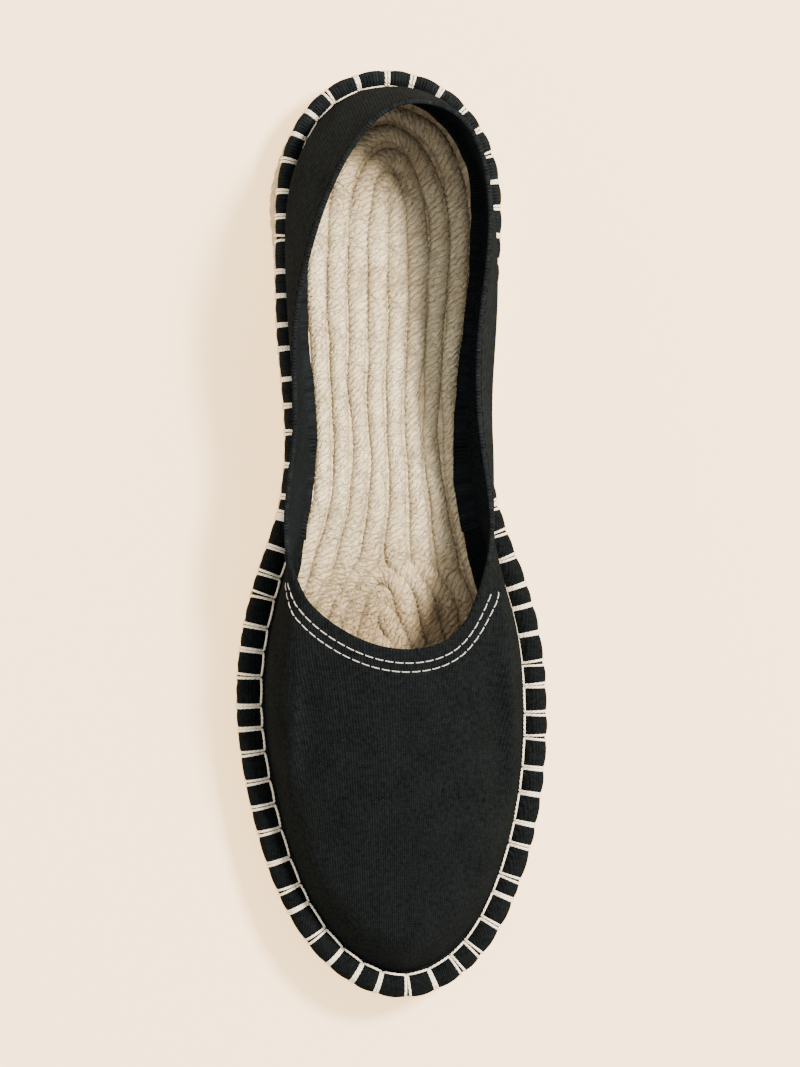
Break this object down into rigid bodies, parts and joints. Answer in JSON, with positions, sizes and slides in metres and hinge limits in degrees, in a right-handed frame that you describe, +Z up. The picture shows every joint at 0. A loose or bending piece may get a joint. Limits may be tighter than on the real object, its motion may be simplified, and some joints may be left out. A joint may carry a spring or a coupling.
{
  "type": "espadrille",
  "caption": "Slip-on right shoe: plain canvas upper sewn by a rolled hem to a coiled jute sole on a thin rubber outsole.",
  "frame": {"origin": "on the floor, under the middle of the shoe's bounding box", "axes": "+Z up, -Y towards the toe, +X towards the big-toe side of this right shoe"},
  "size_m": [0.0942, 0.28, 0.0685],
  "materials": {
    "canvas": "matte black cotton canvas",
    "jute": "natural undyed jute braid",
    "rubber": "matte vulcanised sheet"
  },
  "bodies": {
    "root": {"upper": "canvas", "jute_sole": "jute", "rubber_outsole": "rubber"}
  },
  "joints": []
}
